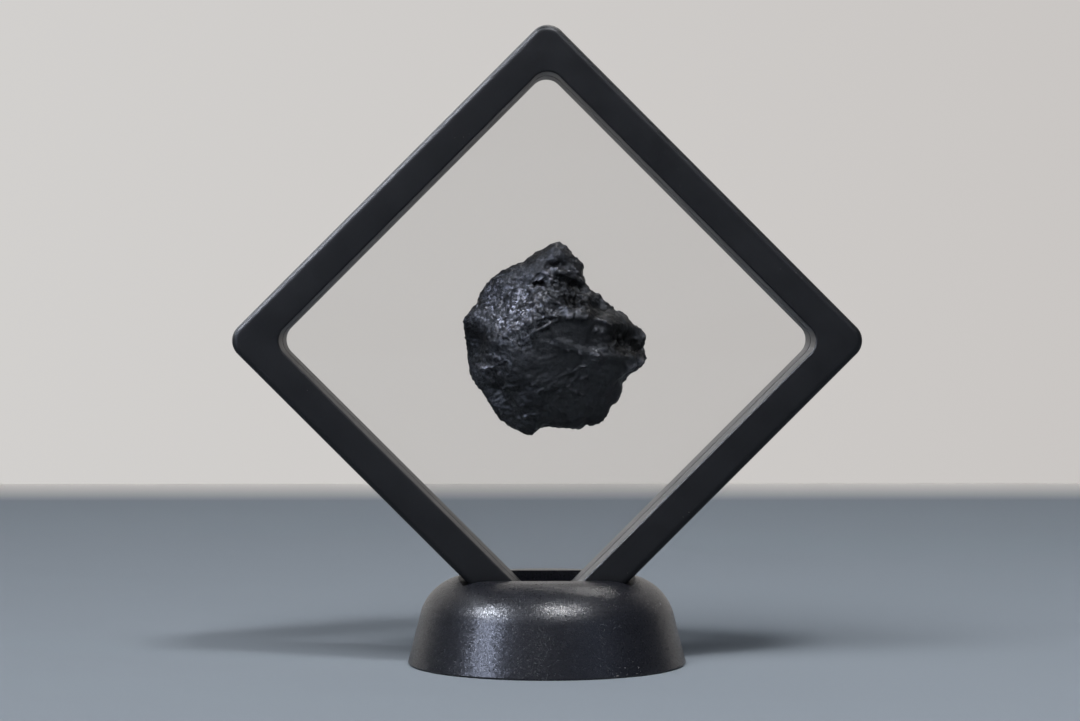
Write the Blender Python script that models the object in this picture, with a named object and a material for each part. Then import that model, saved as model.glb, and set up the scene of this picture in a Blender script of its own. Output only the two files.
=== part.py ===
"""An iron meteorite held between two clear stretched films in a black display frame.

The square frame is made of two equal halves with a film on each. It stands on one corner in the
V-shaped slot of a low round stand. The origin is the middle of the stand's underside, +Z is up, and
the frame's front faces -Y. Lengths are written in millimetres and scaled to metres by MM.
"""

import math

import bmesh
import bpy
import numpy as np
from mathutils import Vector, noise
from mathutils.bvhtree import BVHTree

MM = 0.001
GAP = 0.3 * MM

# Display frame: a square seen as a diamond, one corner down.
FRAME_SIDE = 90.0 * MM
FRAME_DEPTH = 20.0 * MM
FRAME_CENTRE_Z = 64.7 * MM
WINDOW_SIDE = 76.7 * MM
OUTER_CORNER_RADIUS = 3.8 * MM
WINDOW_CORNER_RADIUS = 3.5 * MM
OUTER_EDGE_RADIUS = 1.4 * MM
WINDOW_EDGE_RADIUS = 0.4 * MM
CORNER_STEPS = 6
EDGE_STEPS = 3

# Films, pinned in a shallow rebate between the two halves.
FILM_THICKNESS = 0.3 * MM
FILM_HOLD = 1.35 * MM
REBATE_WIDTH = 1.85 * MM
FILM_CORNER_CUT = 4.0 * MM
FILM_CELLS_ACROSS = 14
FILM_EDGE_LINES = 2
RELAX_ROUNDS = 600
# The stone's highest place under a grid point is looked for this far out, in cells, at this many steps.
CELL_SPREAD = 0.55
CELL_SAMPLES = 5

# Stand: a turned disc with a leaning wall, a round shoulder and a slot for the frame's corner.
STAND_RADIUS = 27.9 * MM
STAND_HEIGHT = 17.5 * MM
STAND_WALL_LEAN = math.radians(14.3)
SHOULDER_RADIUS = 10.0 * MM
FOOT_CHAMFER = 0.4 * MM
STAND_SEGMENTS = 64
SHOULDER_STEPS = 6
SLOT_WIDTH = 22.6 * MM
SLOT_MOUTH_DEPTH = 3.0 * MM
SLOT_MOUTH_FLARE = 1.1 * MM

# Meteorite: its middle, and its outline seen from the front, clockwise from the top, in millimetres.
STONE_CENTRE = Vector((1.6, 0.0, 0.1)) * MM + Vector((0.0, 0.0, FRAME_CENTRE_Z))
STONE_OUTLINE = (
    (0.7, 19.5), (2.2, 18.9), (3.8, 17.0), (5.7, 15.1), (5.5, 13.2), (6.3, 11.4), (7.7, 9.6),
    (9.4, 9.0), (10.2, 7.8), (12.0, 6.1), (14.0, 5.0), (15.7, 3.2), (17.6, 2.1), (18.4, 0.9),
    (18.0, -1.4), (18.1, -4.2), (17.3, -5.4), (15.1, -7.1), (13.6, -8.8), (13.4, -10.6),
    (12.7, -12.3), (11.1, -13.4), (10.5, -15.2), (9.0, -16.8), (7.0, -17.5), (6.5, -17.1),
    (5.0, -17.8), (1.6, -17.5), (-1.5, -17.4), (-3.0, -17.8), (-3.9, -18.8), (-4.6, -19.5),
    (-5.5, -19.2), (-7.3, -18.3), (-9.1, -17.4), (-11.3, -15.7), (-12.8, -13.2), (-14.7, -10.3),
    (-16.5, -7.9), (-17.3, -6.0), (-17.6, -2.9), (-17.9, 0.1), (-18.4, 4.4), (-16.8, 5.8),
    (-15.6, 7.8), (-14.4, 10.4), (-12.5, 12.3), (-10.1, 14.2), (-7.3, 15.5), (-6.2, 15.6),
    (-4.6, 16.9), (-2.1, 18.1), (-0.9, 19.0),
)
# The outline holds at the rim and is blurred over this angle away from it.
OUTLINE_BLUR = math.radians(14.0)
BLUR_SAMPLES = 9
RIM_SHARPNESS = 0.20
EDGE_REACH = 0.10
SIDE_LEAN = 0.30
FACET_CRISPNESS = 13.0
STONE_FLATNESS = 0.84
RIM_CROWDING = 0.62
STONE_SUBDIVISIONS = 6
STONE_KEPT_SHARE = 0.22

SOFT_EDGE_ANGLE = math.radians(35.0)
STONE_EDGE_ANGLE = math.radians(28.0)
FILM_EDGE_ANGLE = math.radians(60.0)

# Facets that trim the outline: the direction each faces (x, y, z) and its distance from the middle.
FACETS = {
    "shoulder": ((-0.46, -0.74, 0.49), 11.6),
    "nose": ((0.15, -0.98, 0.08), 9.0),
    "lower_front": ((0.16, -0.93, -0.33), 9.7),
    "lower_right": ((0.52, -0.70, -0.49), 13.6),
    "right_wing": ((0.62, -0.72, 0.30), 11.4),
    "upper_right": ((0.38, -0.74, 0.55), 11.0),
    "top_front": ((-0.02, -0.78, 0.62), 13.0),
    "left_side": ((-0.74, -0.63, -0.22), 13.6),
    "lower_left": ((-0.47, -0.72, -0.51), 13.4),
    "back_flat": ((-0.10, 0.98, 0.12), 8.2),
    "back_upper_left": ((-0.50, 0.72, 0.48), 11.6),
    "back_upper_right": ((0.48, 0.76, 0.44), 11.2),
    "back_right": ((0.72, 0.68, -0.16), 12.6),
    "back_lower": ((0.10, 0.84, -0.53), 11.2),
    "back_lower_left": ((-0.62, 0.70, -0.36), 12.4),
}

# Relief, in millimetres from the stone's middle: where, how wide, how high (hollows are negative).
FRONT_LUMPS = {
    "top_knob": (0.6, 17.2, 2.8, 1.0),
    "lit_lump": (-14.4, -6.2, 2.7, 1.2),
    "bright_lump_left": (3.4, 5.4, 1.3, 0.8),
    "bright_lump_right": (5.9, 5.0, 1.4, 1.0),
    "bright_ledge_end": (6.4, 8.3, 1.5, 0.9),
    "right_end_facet": (16.4, -4.2, 1.9, 0.8),
    "wing_top": (14.6, 3.6, 1.9, 0.7),
    "wing_knuckle": (10.6, 3.2, 1.5, 0.7),
    "pit": (-3.2, 11.4, 1.2, -1.3),
    "pit_rim": (-3.0, 9.4, 1.3, 0.5),
    "upper_hollow": (4.4, 11.0, 2.8, -1.5),
    "middle_hollow": (9.0, 7.0, 2.0, -1.3),
    "wing_hollow": (15.2, 0.2, 2.6, -2.0),
    "side_hollow": (-15.6, 0.4, 2.6, -1.2),
    "lower_left_dip": (-10.6, -10.4, 2.6, -0.8),
    "lower_swell": (4.6, -11.5, 6.5, 0.7),
    "bottom_dip": (-3.6, -14.2, 2.4, -0.7),
}
FRONT_RIDGES = {
    "shoulder_edge": ((-6.4, 0.2), (0.4, 4.6), 0.9, 0.8),
    "shoulder_brow": ((0.4, 4.6), (4.8, 4.2), 0.8, 0.6),
    "shoulder_right_edge": ((-2.6, 8.6), (-4.6, 3.0), 1.8, 0.6),
    "knob_crease": ((-1.2, 14.8), (1.8, 15.1), 0.8, -1.0),
    "upper_ledge": ((0.4, 13.7), (5.0, 11.6), 0.8, 0.9),
    "middle_ledge": ((-0.6, 8.0), (3.6, 9.4), 0.8, 0.7),
    "cross_ridge_left": ((0.8, -0.6), (8.6, -3.2), 0.9, 0.5),
    "cross_ridge_right": ((8.6, -3.2), (16.6, -3.4), 1.1, 0.7),
    "left_ray_upper": ((-14.6, -2.6), (-8.8, -4.4), 0.7, 0.6),
    "left_ray_lower": ((-15.4, -4.4), (-8.6, -5.6), 0.7, 0.6),
    "left_groove": ((-13.4, 1.6), (-6.0, -1.2), 0.9, -0.6),
    "low_ridge": ((-10.5, -8.2), (-4.6, -7.4), 0.8, 0.4),
    "low_fold": ((-4.4, -10.6), (1.6, -8.8), 0.8, 0.4),
}
BACK_LUMPS = {
    "back_crown": (-5.5, 6.0, 5.0, 0.9),
    "back_thumbprint": (6.0, 3.5, 3.6, -1.3),
    "back_second_thumbprint": (-4.0, -8.0, 3.2, -1.1),
    "back_knuckle": (7.5, -9.0, 2.6, 0.8),
    "back_small_pit": (-9.5, -1.5, 1.6, -0.8),
}
BACK_RIDGES = {
    "back_crest": ((-9.0, 0.5), (8.0, -2.5), 1.2, 0.8),
    "back_spur": ((1.0, -1.5), (-1.5, -14.0), 1.0, 0.6),
    "back_groove": ((-1.0, 13.5), (9.0, 8.0), 1.0, -0.6),
}
# The named relief fades out over this depth towards the stone's edge.
RELIEF_FADE = 2.5
# Rough relief all over: the size of its features and its height, coarse then fine.
ROUGHNESS = ((5.6, 0.62), (2.6, 0.34), (1.3, 0.14))
EDGE_CALM = 0.6
# The edge of the stone wanders forwards and back: how much, over what length, fading over what reach,
# and the level of the noise that it follows.
RIM_WANDER = 2.4
WANDER_LENGTH = 9.0
WANDER_REACH = 0.45
WANDER_LEVEL = 7.0

DIAGONAL = math.sqrt(0.5)


def clear_scene():
    for obj in list(bpy.data.objects):
        bpy.data.objects.remove(obj, do_unlink=True)


def plain_material(name, colour, roughness, metallic=0.0, transmission=0.0, ior=1.5):
    material = bpy.data.materials.new(name)
    material.use_nodes = True
    shader = material.node_tree.nodes["Principled BSDF"]
    shader.inputs["Base Color"].default_value = (*colour, 1.0)
    shader.inputs["Roughness"].default_value = roughness
    shader.inputs["Metallic"].default_value = metallic
    shader.inputs["Transmission Weight"].default_value = transmission
    shader.inputs["IOR"].default_value = ior
    return material


def object_from(mesh_builder, name, material):
    mesh = bpy.data.meshes.new(name)
    bmesh.ops.recalc_face_normals(mesh_builder, faces=mesh_builder.faces)
    mesh_builder.to_mesh(mesh)
    mesh_builder.free()
    mesh.materials.append(material)
    obj = bpy.data.objects.new(name, mesh)
    bpy.context.scene.collection.objects.link(obj)
    return obj


def shade_round(obj, angle=SOFT_EDGE_ANGLE):
    obj.data.shade_smooth()
    obj.data.set_sharp_from_angle(angle=angle)


def in_frame(u, v):
    """World x and z of a point given along the frame's own two sides, from its middle."""
    return (u - v) * DIAGONAL, FRAME_CENTRE_Z + (u + v) * DIAGONAL


def rounded_square(half, radius, y):
    """A ring of points round the frame: a square with rounded corners, standing on one corner."""
    centre = half - radius
    ring = []
    for quarter in range(4):
        turn = quarter * math.pi / 2
        for step in range(CORNER_STEPS + 1):
            angle = turn + step / CORNER_STEPS * math.pi / 2
            corner_u = centre * (math.cos(turn) - math.sin(turn))
            corner_v = centre * (math.sin(turn) + math.cos(turn))
            x, z = in_frame(
                corner_u + radius * math.cos(angle), corner_v + radius * math.sin(angle)
            )
            ring.append((x, y, z))
    return ring


def quarter_round(start, end, bulge_first):
    """Points of a rounded edge between two (half, depth) places of a section, ends included."""
    points = []
    for step in range(EDGE_STEPS + 1):
        angle = step / EDGE_STEPS * math.pi / 2
        along, across = math.sin(angle), 1 - math.cos(angle)
        if not bulge_first:
            along, across = across, along
        half = start[0] + (end[0] - start[0]) * across
        depth = start[1] + (end[1] - start[1]) * along
        points.append((half, depth))
    return points


def frame_section():
    """The half frame's section as (half side, depth from the seam's middle, corner centre) places."""
    outer = FRAME_SIDE / 2
    window = WINDOW_SIDE / 2
    face = FRAME_DEPTH / 2
    seam = GAP / 2
    rebate = seam + FILM_THICKNESS + GAP
    outer_centre = outer - OUTER_CORNER_RADIUS
    window_centre = window - WINDOW_CORNER_RADIUS
    outer_edge = quarter_round(
        (outer, face - OUTER_EDGE_RADIUS), (outer - OUTER_EDGE_RADIUS, face), True
    )
    window_edge = quarter_round(
        (window + WINDOW_EDGE_RADIUS, face), (window, face - WINDOW_EDGE_RADIUS), False
    )
    section = [(outer, seam, outer_centre)]
    section += [(half, depth, outer_centre) for half, depth in outer_edge]
    section += [(half, depth, window_centre) for half, depth in window_edge]
    section += [
        (window, rebate, window_centre),
        (window + REBATE_WIDTH, rebate, window_centre),
        (window + REBATE_WIDTH, seam, window_centre),
    ]
    return section


def frame_half(name, side, material):
    """One half of the frame: side is -1 for the front half and 1 for the back half."""
    builder = bmesh.new()
    rings = []
    for half, depth, centre in frame_section():
        points = rounded_square(half, half - centre, side * depth)
        rings.append([builder.verts.new(point) for point in points])
    for ring, following in zip(rings, rings[1:] + rings[:1]):
        for i in range(len(ring)):
            j = (i + 1) % len(ring)
            builder.faces.new((ring[i], ring[j], following[j], following[i]))
    half_frame = object_from(builder, name, material)
    shade_round(half_frame)
    return half_frame


def shoulder_profile():
    """The stand's outer profile from the foot up to the middle of its top, as (radius, height)."""
    top_centre_z = STAND_HEIGHT - SHOULDER_RADIUS
    wall_top_z = top_centre_z + SHOULDER_RADIUS * math.sin(STAND_WALL_LEAN)
    wall_top_r = STAND_RADIUS - wall_top_z * math.tan(STAND_WALL_LEAN)
    centre_r = wall_top_r - SHOULDER_RADIUS * math.cos(STAND_WALL_LEAN)
    profile = [
        (0.0, 0.0),
        (STAND_RADIUS - FOOT_CHAMFER, 0.0),
        (STAND_RADIUS - FOOT_CHAMFER * math.tan(STAND_WALL_LEAN), FOOT_CHAMFER),
    ]
    for step in range(SHOULDER_STEPS + 1):
        angle = STAND_WALL_LEAN + step / SHOULDER_STEPS * (math.pi / 2 - STAND_WALL_LEAN)
        profile.append(
            (
                centre_r + SHOULDER_RADIUS * math.cos(angle),
                top_centre_z + SHOULDER_RADIUS * math.sin(angle),
            )
        )
    profile.append((0.0, STAND_HEIGHT))
    return profile


def turned_body(profile):
    """A closed body turned about Z from a profile that starts and ends on the axis."""
    builder = bmesh.new()
    first = builder.verts.new((0.0, 0.0, profile[0][1]))
    last = builder.verts.new((0.0, 0.0, profile[-1][1]))
    rings = []
    for radius, height in profile[1:-1]:
        ring = []
        for i in range(STAND_SEGMENTS):
            angle = 2 * math.pi * i / STAND_SEGMENTS
            ring.append(
                builder.verts.new((radius * math.cos(angle), radius * math.sin(angle), height))
            )
        rings.append(ring)
    for i in range(STAND_SEGMENTS):
        j = (i + 1) % STAND_SEGMENTS
        builder.faces.new((first, rings[0][j], rings[0][i]))
        builder.faces.new((last, rings[-1][i], rings[-1][j]))
        for ring, following in zip(rings, rings[1:]):
            builder.faces.new((ring[i], ring[j], following[j], following[i]))
    return builder


def slot_outline():
    """The slot seen from the front: a V that clears the frame's lower corner, flared at its mouth."""
    half = FRAME_SIDE / 2 + GAP
    radius = OUTER_CORNER_RADIUS + GAP
    apex_z = FRAME_CENTRE_Z - 2 * half * DIAGONAL
    arc_centre_z = apex_z + 2 * radius * DIAGONAL
    arc = []
    for step in range(CORNER_STEPS + 1):
        angle = math.radians(-135.0) + step / CORNER_STEPS * math.pi / 2
        arc.append((radius * math.cos(angle), arc_centre_z + radius * math.sin(angle)))
    mouth_z = STAND_HEIGHT - SLOT_MOUTH_DEPTH
    mouth_half = mouth_z - apex_z
    top_half = STAND_HEIGHT - apex_z + SLOT_MOUTH_FLARE
    slope = (top_half - mouth_half) / SLOT_MOUTH_DEPTH
    above = SLOT_MOUTH_DEPTH
    crest = (top_half + slope * above, STAND_HEIGHT + above)
    right = [(mouth_half, mouth_z), crest]
    left = [(-x, z) for x, z in reversed(right)]
    return left + arc + right


def slot_cutter():
    builder = bmesh.new()
    faces = []
    for y in (-SLOT_WIDTH / 2, SLOT_WIDTH / 2):
        faces.append([builder.verts.new((x, y, z)) for x, z in slot_outline()])
    front, back = faces
    builder.faces.new(front)
    builder.faces.new(list(reversed(back)))
    for i in range(len(front)):
        j = (i + 1) % len(front)
        builder.faces.new((front[j], front[i], back[i], back[j]))
    cutter = object_from(builder, "slot_cutter", plain_material("cutter", (0.5, 0.5, 0.5), 0.5))
    cutter.hide_render = True
    cutter.display_type = "WIRE"
    return cutter


def stand(material):
    body = object_from(turned_body(shoulder_profile()), "stand", material)
    cut = body.modifiers.new("slot", "BOOLEAN")
    cut.operation = "DIFFERENCE"
    cut.object = slot_cutter()
    shade_round(body)
    return body


def outline_reach(angles):
    """Distance from the stone's middle to its outline at each angle, sharp and blurred."""
    points = np.array(STONE_OUTLINE)
    turns = np.arctan2(points[:, 1], points[:, 0])
    order = np.argsort(turns)
    reach = np.hypot(points[:, 0], points[:, 1])[order]
    turns = turns[order]
    sharp = np.interp(angles, turns, reach, period=2 * math.pi)
    offsets = np.linspace(-OUTLINE_BLUR, OUTLINE_BLUR, BLUR_SAMPLES)
    blurred = np.mean(
        [np.interp(angles + offset, turns, reach, period=2 * math.pi) for offset in offsets],
        axis=0,
    )
    return sharp, blurred


def trimmed_stone(directions):
    """Points of the stone's main form along each direction, in millimetres from its middle."""
    x, y, z = directions.T
    sharp, blurred = outline_reach(np.arctan2(z, x))
    at_rim = np.exp(-((y / RIM_SHARPNESS) ** 2))
    reach = blurred + (sharp - blurred) * at_rim
    side = (np.hypot(x, z) + SIDE_LEAN * np.abs(y)) / reach
    total = side**FACET_CRISPNESS
    for facing, distance in FACETS.values():
        normal = np.array(facing) / np.linalg.norm(facing)
        total += (np.maximum(directions @ normal, 0.0) / distance) ** FACET_CRISPNESS
    trimmed = total ** (-1.0 / FACET_CRISPNESS)
    radius = trimmed + (1.0 / side - trimmed) * np.exp(-((y / EDGE_REACH) ** 2))
    return directions * radius[:, None] * np.array((1.0, STONE_FLATNESS, 1.0))


def lump_height(points, lumps):
    height = np.zeros(len(points))
    for x, z, width, rise in lumps.values():
        distance = np.hypot(points[:, 0] - x, points[:, 2] - z)
        height += rise * np.exp(-((distance / width) ** 2))
    return height


def ridge_height(points, ridges):
    height = np.zeros(len(points))
    place = points[:, (0, 2)]
    for start, end, width, rise in ridges.values():
        start, end = np.array(start), np.array(end)
        run = end - start
        along = np.clip((place - start) @ run / (run @ run), 0.0, 1.0)
        distance = np.linalg.norm(place - start - along[:, None] * run, axis=1)
        height += rise * np.exp(-((distance / width) ** 2))
    return height


def rough_height(point):
    height = 0.0
    for size, rise in ROUGHNESS:
        height += rise * noise.noise(Vector(point) / size, noise_basis="PERLIN_NEW")
    return height


def stone_points(directions):
    """The stone's surface along each direction: main form, named relief, then roughness."""
    points = trimmed_stone(directions)
    y = directions[:, 1]
    front = np.clip(-points[:, 1] / RELIEF_FADE, 0.0, 1.0)
    back = np.clip(points[:, 1] / RELIEF_FADE, 0.0, 1.0)
    front_relief = lump_height(points, FRONT_LUMPS) + ridge_height(points, FRONT_RIDGES)
    back_relief = lump_height(points, BACK_LUMPS) + ridge_height(points, BACK_RIDGES)
    wander = np.array(
        [noise.noise(Vector((px, WANDER_LEVEL, pz)) / WANDER_LENGTH) for px, _, pz in points]
    )
    roughness = np.array([rough_height(point) for point in points])
    calm_edge = 1.0 - EDGE_CALM * np.exp(-((y / EDGE_REACH) ** 2))
    points += directions * (roughness * calm_edge)[:, None]
    points[:, 1] += back_relief * back - front_relief * front
    points[:, 1] += RIM_WANDER * wander * np.exp(-((y / WANDER_REACH) ** 2))
    return points * MM + np.array(STONE_CENTRE)


def meteorite(material):
    builder = bmesh.new()
    bmesh.ops.create_icosphere(builder, subdivisions=STONE_SUBDIVISIONS, radius=1.0)
    directions = np.array([vert.co for vert in builder.verts])
    directions[:, 1] *= RIM_CROWDING
    directions /= np.linalg.norm(directions, axis=1)[:, None]
    for vert, point in zip(builder.verts, stone_points(directions)):
        vert.co = point
    stone = object_from(builder, "meteorite", material)
    thin_out = stone.modifiers.new("thin_out", "DECIMATE")
    thin_out.ratio = STONE_KEPT_SHARE
    shade_round(stone, STONE_EDGE_ANGLE)
    return stone


def film_lines():
    """Where the film's grid lines run, from its middle out to one edge and the other."""
    edge = WINDOW_SIDE / 2 + FILM_HOLD
    inner = edge - FILM_CORNER_CUT
    middle = [inner * (2 * i / FILM_CELLS_ACROSS - 1) for i in range(FILM_CELLS_ACROSS + 1)]
    pinned = edge - FILM_CORNER_CUT / 2
    return np.array([-edge, -pinned, *middle, pinned, edge])


def reach_towards(tree, x, z, side):
    """How far the stone stands out from the middle plane at a place, towards one side."""
    start = Vector((x, side * FRAME_DEPTH, z))
    hit = tree.ray_cast(start, Vector((0.0, -side, 0.0)))[0]
    return max(0.0, hit.y * side) if hit else 0.0


def stone_under_film(tree, lines, side):
    """The highest the stone stands within a cell of each grid point."""
    count = len(lines)
    reach = np.zeros((count, count))
    spread = CELL_SPREAD * (lines[count // 2 + 1] - lines[count // 2])
    offsets = np.linspace(-spread, spread, CELL_SAMPLES)
    inner_lines = range(FILM_EDGE_LINES, count - FILM_EDGE_LINES)
    for i in inner_lines:
        for j in inner_lines:
            for du in offsets:
                for dv in offsets:
                    x, z = in_frame(lines[i] + du, lines[j] + dv)
                    reach[i, j] = max(reach[i, j], reach_towards(tree, x, z, side))
    return reach


def tent_height(tree, lines, side):
    """Rise of a film that is pinned round the window and stretched over the stone."""
    reach = stone_under_film(tree, lines, side)
    height = np.where(reach > 0.0, reach + GAP, 0.0)
    floor = height[1:-1, 1:-1].copy()
    weight = 1.0 / np.diff(lines)
    for _ in range(RELAX_ROUNDS):
        pulled = (
            height[:-2, 1:-1] * weight[:-1, None]
            + height[2:, 1:-1] * weight[1:, None]
            + height[1:-1, :-2] * weight[None, :-1]
            + height[1:-1, 2:] * weight[None, 1:]
        ) / (weight[:-1, None] + weight[1:, None] + weight[None, :-1] + weight[None, 1:])
        height[1:-1, 1:-1] = np.maximum(pulled, floor)
        height[1, :] = height[-2, :] = 0.0
        height[:, 1] = height[:, -2] = 0.0
    return height


def outside_cut_corner(i, j, last):
    """True for the grid points that the film's cut corners leave out."""
    return min(i, last - i) + min(j, last - j) < FILM_EDGE_LINES


def film(name, side, stone_tree, material):
    lines = film_lines()
    height = tent_height(stone_tree, lines, side)
    last = len(lines) - 1
    builder = bmesh.new()
    layers = []
    for rise in (GAP / 2, GAP / 2 + FILM_THICKNESS):
        layer = {}
        for i in range(last + 1):
            for j in range(last + 1):
                if outside_cut_corner(i, j, last):
                    continue
                x, z = in_frame(lines[i], lines[j])
                layer[i, j] = builder.verts.new((x, side * (height[i, j] + rise), z))
        layers.append(layer)
    for layer in layers:
        for i in range(last):
            for j in range(last):
                corners = [(i, j), (i + 1, j), (i + 1, j + 1), (i, j + 1)]
                kept = [layer[corner] for corner in corners if corner in layer]
                if len(kept) >= 3:
                    builder.faces.new(kept)
    close_rim(builder, layers)
    sheet = object_from(builder, name, material)
    shade_round(sheet, FILM_EDGE_ANGLE)
    return sheet


def close_rim(builder, layers):
    """Joins the open borders of a film's two layers."""
    inner, outer = layers
    partner = {inner[key]: outer[key] for key in inner}
    inner_verts = set(inner.values())
    for edge in [edge for edge in builder.edges if edge.is_boundary]:
        if edge.verts[0] in inner_verts:
            a, b = edge.verts
            builder.faces.new((a, b, partner[b], partner[a]))


def tree_of(obj):
    graph = bpy.context.evaluated_depsgraph_get()
    return BVHTree.FromObject(obj, graph)


def build():
    clear_scene()
    black_plastic = plain_material("black_plastic", (0.018, 0.020, 0.024), 0.42)
    stand_plastic = plain_material("stand_plastic", (0.016, 0.017, 0.022), 0.36)
    iron = plain_material("dark_iron", (0.045, 0.048, 0.055), 0.38, metallic=0.7)
    clear_film = plain_material("clear_film", (0.95, 0.96, 0.97), 0.04, transmission=1.0, ior=1.4)
    stand(stand_plastic)
    frame_half("frame_front", -1, black_plastic)
    frame_half("frame_back", 1, black_plastic)
    stone = meteorite(iron)
    stone_tree = tree_of(stone)
    film("film_front", -1, stone_tree, clear_film)
    film("film_back", 1, stone_tree, clear_film)


build()
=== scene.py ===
"""The finished look of an iron meteorite held between clear films in a black display frame.

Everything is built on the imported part: metres, +Z up, the frame's front facing -Y. The object's
lengths are written in millimetres and scaled by MM. The stage and the lamps are in metres, and the
stone's relief is worked out in millimetres from the stone's middle.
"""

import math

import bmesh
import bpy
import numpy as np
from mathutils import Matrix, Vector, noise
from mathutils.bvhtree import BVHTree


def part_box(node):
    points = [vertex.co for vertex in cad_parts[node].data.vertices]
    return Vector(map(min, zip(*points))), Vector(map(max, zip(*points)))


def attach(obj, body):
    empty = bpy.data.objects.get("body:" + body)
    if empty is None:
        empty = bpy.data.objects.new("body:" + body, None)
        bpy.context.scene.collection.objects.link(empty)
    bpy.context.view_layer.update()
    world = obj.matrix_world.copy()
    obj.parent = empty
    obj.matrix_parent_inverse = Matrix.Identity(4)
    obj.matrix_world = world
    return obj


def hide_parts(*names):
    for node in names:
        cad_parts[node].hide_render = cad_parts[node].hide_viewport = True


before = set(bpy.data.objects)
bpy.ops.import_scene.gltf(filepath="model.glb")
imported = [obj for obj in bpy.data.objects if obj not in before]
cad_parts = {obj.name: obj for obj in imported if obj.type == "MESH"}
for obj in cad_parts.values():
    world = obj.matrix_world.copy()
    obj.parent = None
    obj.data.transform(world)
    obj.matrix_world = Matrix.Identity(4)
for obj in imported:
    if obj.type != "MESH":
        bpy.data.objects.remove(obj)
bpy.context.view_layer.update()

MM = 0.001
GAP = 0.3 * MM
DIAGONAL = math.sqrt(0.5)
SHARP_ANGLE = math.radians(35.0)

# Display frame
FRAME_SIDE = 90.0 * MM
FRAME_DEPTH = 20.0 * MM
FRAME_CENTRE_Z = sum(corner.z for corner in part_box("frame_front")) / 2
WINDOW_SIDE = 76.7 * MM
OUTER_CORNER_RADIUS = 3.8 * MM
WINDOW_CORNER_RADIUS = 3.5 * MM
OUTER_EDGE_RADIUS = 1.4 * MM
WINDOW_EDGE_RADIUS = 0.4 * MM
SEAM_EDGE_RADIUS = 0.15 * MM
REBATE_WIDTH = 1.85 * MM
REBATE_DEPTH = 0.45 * MM
CORNER_STEPS = 24
EDGE_STEPS = 8
SEAM_STEPS = 3
# Each piece's name, the side of the middle plane that it is on, and the solid that it replaces.
FRAME_PIECES = (("frame_shell_front", -1, "frame_front"), ("frame_shell_back", 1, "frame_back"))

# Films
FILM_HOLD = 1.35 * MM
FILM_THICKNESS = 0.08 * MM
FILM_OFFSET = 0.3 * MM
FILM_CLEARANCE = 0.06 * MM
FILM_CELLS = 128
FILM_REACH = (-1, 0, 1)
FILM_ROUNDS = 700
FILM_OVERSHOOT = 1.9
FILM_SHARP_ANGLE = math.radians(60.0)
FILM_PIECES = (("film_sheet_front", -1, "film_front"), ("film_sheet_back", 1, "film_back"))

# Stand
STAND_RADIUS = 27.9 * MM
STAND_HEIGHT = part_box("stand")[1].z
STAND_WALL_LEAN = math.radians(14.3)
SHOULDER_RADIUS = 10.0 * MM
FOOT_CHAMFER = 0.4 * MM
STAND_SEGMENTS = 192
SHOULDER_STEPS = 24
SLOT_WIDTH = 22.6 * MM
SLOT_MOUTH_DEPTH = 3.0 * MM
SLOT_MOUTH_FLARE = 1.1 * MM

# Stone
STONE_CENTRE = Vector((1.6 * MM, 0.0, FRAME_CENTRE_Z + 0.1 * MM))
STONE_CELL = 0.21 * MM
STONE_SMOOTHING = 5
STONE_SMOOTHING_SHARE = 0.5
STONE_SHARP_ANGLE = math.radians(40.0)
# noise_vector would start from the clock, and the small forms would lie elsewhere in each run.
STONE_SEED = 1795850313
# The crags and grains of the relief, in millimetres: size, rise, and a shift that makes each differ.
CRAGS = ((3.1, 0.26, (0.0, 0.0, 0.0)), (1.5, 0.20, (5.0, 1.0, 3.0)))
GRAINS = ((1.3, 0.26, (0.0, 0.0, 0.0)), (0.75, 0.18, (3.0, 9.0, 2.0)))
CREST_LEVEL = 0.6
LEAST_GRAIN = 0.15
GRAIN_SPREAD = 7.3
# Streaks are crags of this size, drawn out along their run and into the stone.
STREAK_SIZE = 0.95
STREAK_STRETCH = 4.2
STREAK_DEEPENING = 2.0
STREAK_RISE = 0.30
LEAST_STREAK = 0.05
ROUGH_SIZE = 0.5
ROUGH_RISE = 0.05
REGION_WEIGHT = 3.0
# The rim's teeth and the chips in them, where the surface is seen edge on. Sizes are in millimetres.
RIM_FACING = 0.5
RIM_TEETH = 0.30
TOOTH_SIZE = 1.3
TOOTH_LEVEL = 0.5
CHIP_SIZE = 0.9
CHIP_SHARE = 0.7
# The named forms fade out over this depth from the middle plane, in millimetres.
FORM_FADE = 1.5
# The power in a form's section: 1 makes a sharp crest and 2 a bell.
FORM_ROUNDNESS = 1.5
# Crests look rubbed from the first height on, and fully so this much above it, in millimetres.
RUBBED_START = 0.08
RUBBED_RISE = 0.50
# The small forms wander sideways and break up along their length.
FORM_WANDER = 0.7
FORM_WANDER_LENGTH = 1.6
FORM_BREAK = 1.2
FORM_BREAK_LENGTH = 0.9
# How grainy and craggy the stone is where no region says otherwise, and the weight of that. It has
# no streaks there.
BASE_KIND = (0.3, 0.5, 1.0)
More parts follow.
